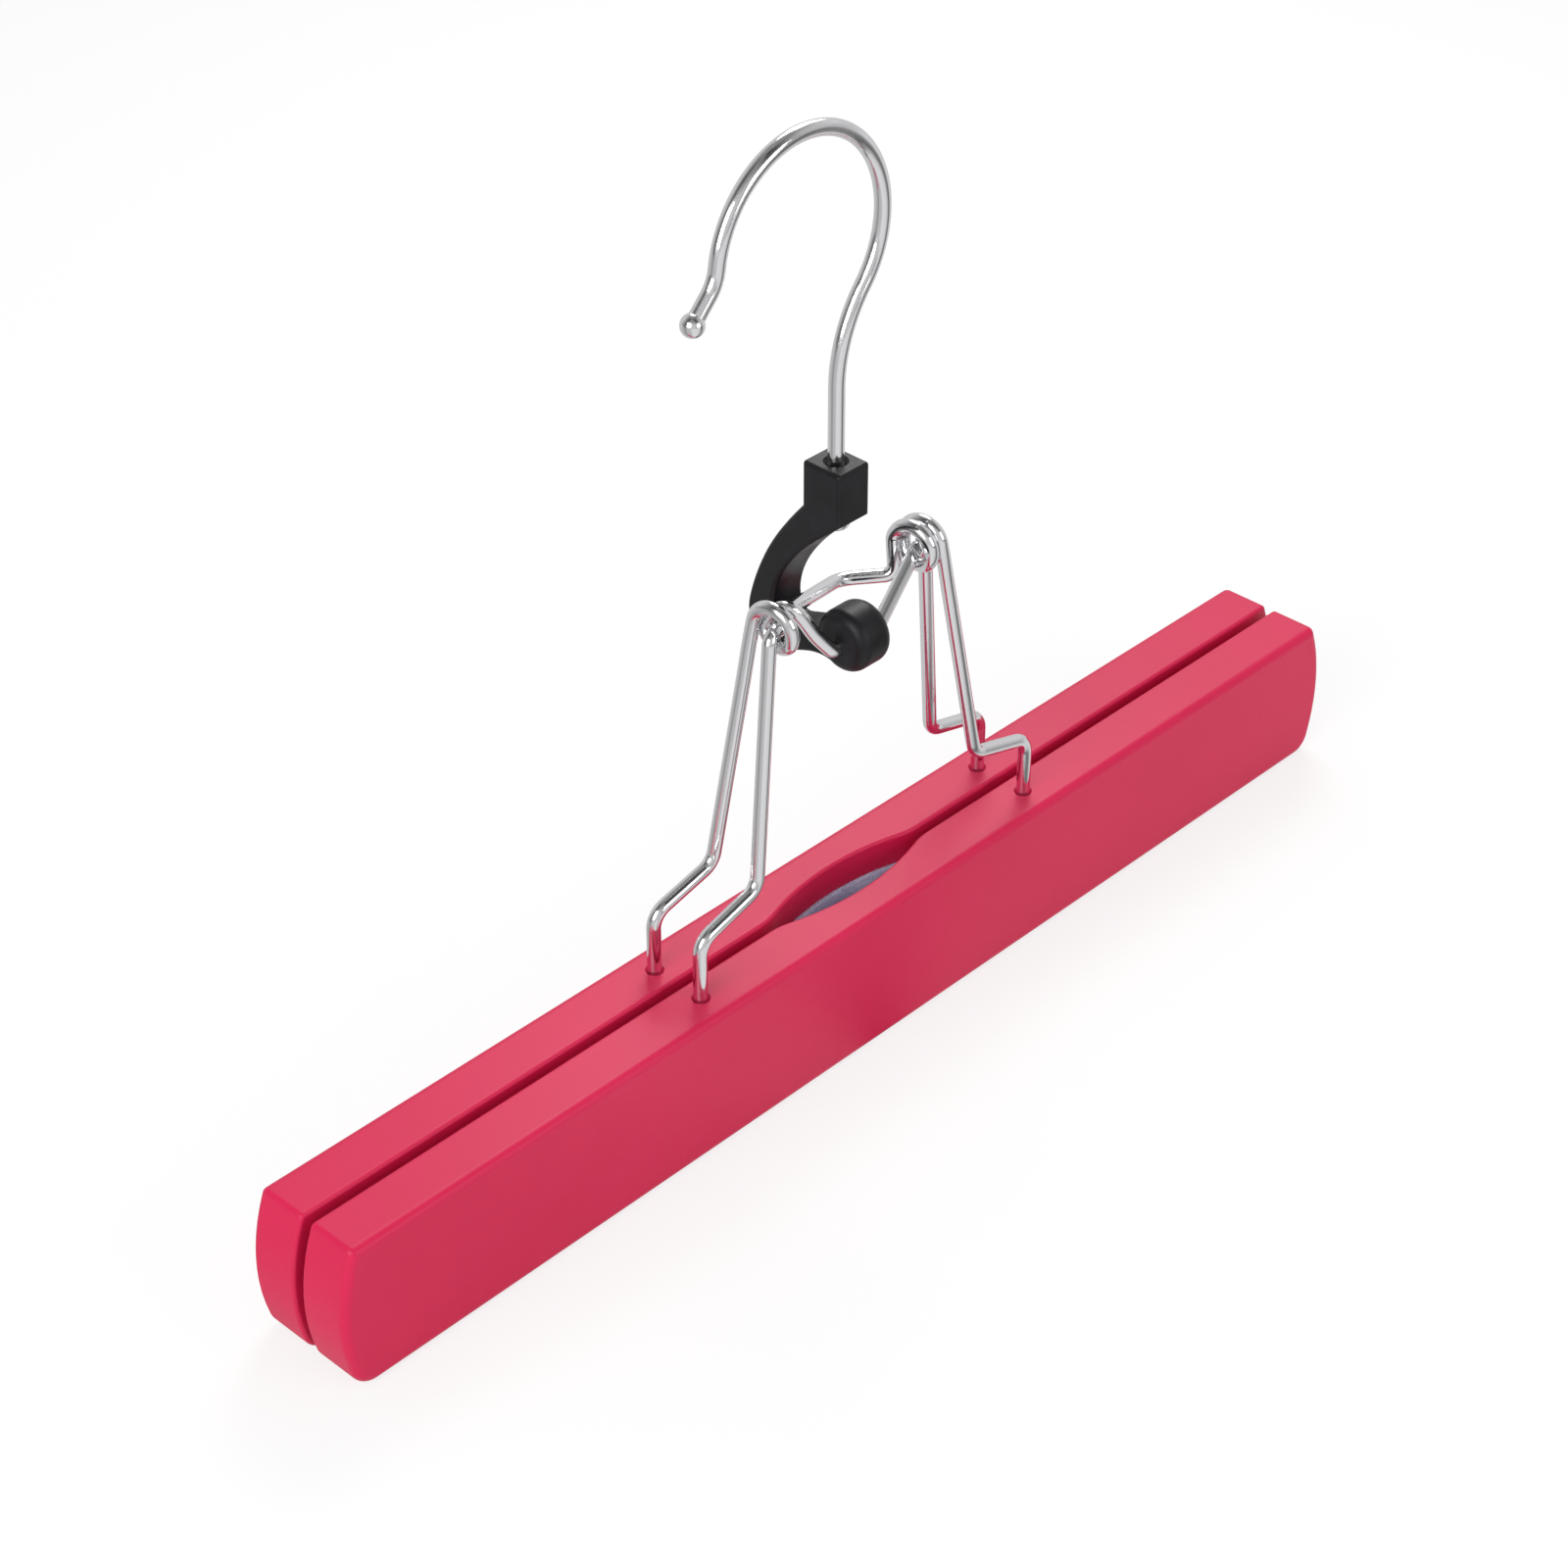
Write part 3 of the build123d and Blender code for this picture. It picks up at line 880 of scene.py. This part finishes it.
def felt_strip(side):
    """A felt strip glued to a jaw's inner wall, its cut edges softened and a little uneven."""
    # the section as (rise from the wall, share of the height, drop at the edge in mm)
    soft = FELT_SOFT
    section = [(0.0, i / FELT_BANDS, 0.0) for i in range(FELT_BANDS + 1)]
    section += [(soft, 1, -soft * 0.6), (FELT_THICK / 2, 1, -soft), (FELT_THICK - soft, 1, -soft * 0.6)]
    section += [(FELT_THICK, i / FELT_BANDS, 0.0) for i in range(FELT_BANDS, -1, -1)]
    section += [(FELT_THICK - soft, 0, soft * 0.6), (FELT_THICK / 2, 0, soft), (soft, 0, soft * 0.6)]
    mesh = bmesh.new()
    loose = mesh.faces.layers.bool.new("loose")
    walls = {rise: wall_line(side, rise) for rise in sorted({rise for rise, part, drop in section})}
    rings = []
    for i in range(2 * FELT_STEPS + 1):
        x = walls[0.0][i][0]
        wave = noise.noise(Vector((x * FELT_WAVES, side * FELT_SIDE_SHIFT, 0.0))) * FELT_WAVE - FELT_WAVE
        ring = []
        for rise, part, drop in section:
            where = walls[rise][i]
            height = FELT_LOW + soft - wave + (FELT_TOP - FELT_LOW - 2 * soft + 2 * wave) * part - drop
            ring.append(mesh.verts.new(spot(where[0], where[1], height)))
        rings.append(ring)
    count = len(section)
    for i, (left, right) in enumerate(zip(rings, rings[1:])):
        x = walls[0.0][i][0]
        for j in range(count):
            k = (j + 1) % count
            face = mesh.faces.new((left[j], right[j], right[k], left[k]))
            face.smooth = True
            rise, part, drop = section[j]
            on_top = drop < 0 and rise < FELT_THICK - soft
            on_face = rise == FELT_THICK and part > FIBRES_FROM_SHARE and drop == 0
            in_recess = on_face and abs(x) < RECESS_CLEAR
            face[loose] = on_top or in_recess
    mesh.faces.new(rings[0])
    mesh.faces.new(rings[-1][::-1])
    bmesh.ops.recalc_face_normals(mesh, faces=mesh.faces)
    data = bpy.data.meshes.new("felt_strip")
    mesh.to_mesh(data)
    mesh.free()
    return data


class HANGER_OT_felts(bpy.types.Operator):
    """Glue the felt strips into the jaws and raise their loose fibres"""

    bl_idname = "hanger.felts"
    bl_label = "Glue Felts"

    def execute(self, context):
        props = context.scene.hanger_felt
        felt = wool_felt(props)
        tree = fibre_tree()
        for name, side in (("front", -1), ("rear", 1)):
            strip = felt_strip(side)
            strip.materials.append(felt)
            holder = bpy.data.objects.new(name + "_fibre_bed", strip.copy())
            context.scene.collection.objects.link(holder)
            hairs = grown(holder, tree, {
                "Density": props.density, "Height": props.fibre_length, "Seed": props.seed,
                "Finish": felt,
            })
            if not hairs.vertices:
                raise RuntimeError("no loose fibres were grown")
            piece = show(name + "_felt_strip", strip, name + "_half", name + "_felt")
            fibres = bpy.data.objects.new(name + "_felt_fibres", hairs)
            context.scene.collection.objects.link(fibres)
            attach(fibres, name + "_half")
            length = FELT_HALF * 2 * MM
            for here, after in zip(wall_line(side, 0.5), wall_line(side, 0.5)[1:]):
                length += (math.dist(here, after) - (after[0] - here[0])) * MM
        return {"FINISHED"}


def add_flags(tree, where, azimuth, flags):
    """Tones round the hanger by bearing from the camera, read from a place or a direction."""
    axes = add_node(tree, "ShaderNodeSeparateXYZ", links={0: where})
    bearing = add_node(
        tree, "ShaderNodeMath", {"operation": "ARCTAN2"}, {0: axes.outputs["Y"], 1: axes.outputs["X"]}
    )
    camera_bearing = math.atan2(-math.cos(azimuth), math.sin(azimuth))
    offset = add_node(
        tree, "ShaderNodeMath", {"operation": "SUBTRACT", 1: camera_bearing},
        {0: bearing.outputs["Value"]},
    )
    wrapped = add_node(
        tree, "ShaderNodeMath", {"operation": "WRAP", 1: math.pi, 2: -math.pi},
        {0: offset.outputs["Value"]},
    )
    share = add_node(
        tree, "ShaderNodeMapRange", {"From Min": -math.pi, "From Max": math.pi},
        {"Value": wrapped.outputs["Value"]},
    )
    tones = add_node(tree, "ShaderNodeValToRGB", links={"Fac": share.outputs["Result"]})
    set_ramp(tones, [(0.5 + degrees / 360, tone) for degrees, tone in flags])
    return tones


class HANGER_OT_stage(bpy.types.Operator):
    """Set up the floor, the soft studio light and the camera"""

    bl_idname = "hanger.stage"
    bl_label = "Set Up Stage"

    def execute(self, context):
        props = context.scene.hanger_stage
        scene = context.scene
        floor_height = spot(0, 0, 0).z
        bpy.ops.mesh.primitive_plane_add(size=FLOOR_SIZE, location=(0, 0, floor_height))
        floor = context.object
        floor.name = "floor"
        mat, tree, out = new_material("Matt_white_paper")
        paper = add_node(tree, "ShaderNodeBsdfDiffuse", {"Color": linear("#F4F4F4")})
        coords = add_node(tree, "ShaderNodeTexCoord")
        flags = add_flags(tree, coords.outputs["Object"], props.azimuth, FLOOR_FLAGS)
        path = add_node(tree, "ShaderNodeLightPath")
        seen_tone = add_node(
            tree, "ShaderNodeMix", {"data_type": "RGBA", 6: linear("#FFFFFF")},
            {0: path.outputs["Is Glossy Ray"], 7: flags.outputs["Color"]},
        )
        clear = add_node(tree, "ShaderNodeEmission", {"Strength": 1.0}, {"Color": seen_tone.outputs[2]})
        both = add_node(
            tree, "ShaderNodeMath", {"operation": "MAXIMUM"},
            {0: path.outputs["Is Camera Ray"], 1: path.outputs["Is Transmission Ray"]},
        )
        seen = add_node(
            tree, "ShaderNodeMath", {"operation": "MULTIPLY", 1: FLOOR_CLEAR_SHARE},
            {0: both.outputs["Value"]},
        )
        share = add_node(
            tree, "ShaderNodeMath", {"operation": "MAXIMUM"},
            {0: seen.outputs["Value"], 1: path.outputs["Is Glossy Ray"]},
        )
        mix = add_node(
            tree, "ShaderNodeMixShader", {},
            {0: share.outputs["Value"], 1: paper.outputs["BSDF"], 2: clear.outputs["Emission"]},
        )
        tree.links.new(mix.outputs["Shader"], out.inputs["Surface"])
        floor.data.materials.append(mat)

        world = bpy.data.worlds.new("Studio")
        scene.world = world
        world.use_nodes = True
        tree = world.node_tree
        tree.nodes.clear()
        out = add_node(tree, "ShaderNodeOutputWorld")
        path = add_node(tree, "ShaderNodeLightPath")
        seen = add_node(
            tree, "ShaderNodeMath", {"operation": "MAXIMUM"},
            {0: path.outputs["Is Camera Ray"], 1: path.outputs["Is Transmission Ray"]},
        )
        strength = add_node(
            tree, "ShaderNodeMapRange", {"To Min": props.fill, "To Max": 1.0},
            {"Value": seen.outputs["Value"]},
        )
        even = add_node(
            tree, "ShaderNodeBackground", {"Color": linear("#FFFFFF")},
            {"Strength": strength.outputs["Result"]},
        )
        # what the plated wires mirror: white walls with grey flags stood on both sides of the camera
        coords = add_node(tree, "ShaderNodeTexCoord")
        axes = add_node(tree, "ShaderNodeSeparateXYZ", links={0: coords.outputs["Generated"]})
        walls = add_flags(tree, coords.outputs["Generated"], props.azimuth, FLAGS)
        height = add_node(
            tree, "ShaderNodeMapRange", {"From Min": -0.3, "From Max": 1.0}, {"Value": axes.outputs["Z"]}
        )
        ceiling = add_node(tree, "ShaderNodeValToRGB", links={"Fac": height.outputs["Result"]})
        set_ramp(ceiling, CEILING_TONES)
        studio = add_node(
            tree, "ShaderNodeMix", {"data_type": "RGBA", "blend_type": "MULTIPLY", 0: 1.0},
            {6: walls.outputs["Color"], 7: ceiling.outputs["Color"]},
        )
        mirrored = add_node(
            tree, "ShaderNodeBackground", {"Strength": props.mirrored}, {"Color": studio.outputs[2]}
        )
        pick = add_node(
            tree, "ShaderNodeMixShader", {},
            {
                0: path.outputs["Is Glossy Ray"], 1: even.outputs["Background"],
                2: mirrored.outputs["Background"],
            },
        )
        tree.links.new(pick.outputs["Shader"], out.inputs["Surface"])

        middle = spot(*VIEW_MIDDLE)
        for name, offset, size, share in LAMPS:
            lamp = bpy.data.lights.new(name, "AREA")
            lamp.size = size
            lamp.energy = props.key * share
            holder = bpy.data.objects.new(name, lamp)
            scene.collection.objects.link(holder)
            holder.location = middle + Vector(offset)
            holder.rotation_euler = Vector(offset).to_track_quat("Z", "Y").to_euler()

        back_dir = Vector((
            math.sin(props.azimuth) * math.cos(props.elevation),
            -math.cos(props.azimuth) * math.cos(props.elevation),
            math.sin(props.elevation),
        ))
        camera = bpy.data.cameras.new("camera")
        camera.lens = props.lens
        camera.sensor_width = 36.0
        camera.clip_start = 0.01
        holder = bpy.data.objects.new("camera", camera)
        scene.collection.objects.link(holder)
        holder.location = middle + back_dir * props.distance
        holder.rotation_euler = back_dir.to_track_quat("Z", "Y").to_euler()
        scene.camera = holder
        scene.view_settings.view_transform = "Standard"
        return {"FINISHED"}


class HANGER_PT_panel(bpy.types.Panel):
    """One button for each step"""

    bl_idname = "HANGER_PT_panel"
    bl_label = "Trouser Hanger"
    bl_space_type = "VIEW_3D"
    bl_region_type = "UI"
    bl_category = "Hanger"

    def draw(self, context):
        for step in STEPS:
            self.layout.operator(step.bl_idname)


STEPS = [
    HANGER_OT_stage, HANGER_OT_jaws, HANGER_OT_wires, HANGER_OT_hook, HANGER_OT_claw, HANGER_OT_felts,
]
SETTINGS = {
    "hanger_enamel": EnamelSettings,
    "hanger_wire": WireSettings,
    "hanger_claw": ClawSettings,
    "hanger_felt": FeltSettings,
    "hanger_stage": StageSettings,
}


def register():
    for group in SETTINGS.values():
        bpy.utils.register_class(group)
    for name, group in SETTINGS.items():
        setattr(bpy.types.Scene, name, PointerProperty(type=group))
    for step in STEPS + [HANGER_PT_panel]:
        bpy.utils.register_class(step)


def unregister():
    for step in reversed(STEPS + [HANGER_PT_panel]):
        bpy.utils.unregister_class(step)
    for name, group in SETTINGS.items():
        delattr(bpy.types.Scene, name)
        bpy.utils.unregister_class(group)


def main():
    register()
    bpy.ops.hanger.stage()
    bpy.ops.hanger.jaws()
    bpy.ops.hanger.wires()
    bpy.ops.hanger.hook()
    bpy.ops.hanger.claw()
    bpy.ops.hanger.felts()


if __name__ == "__main__":
    main()
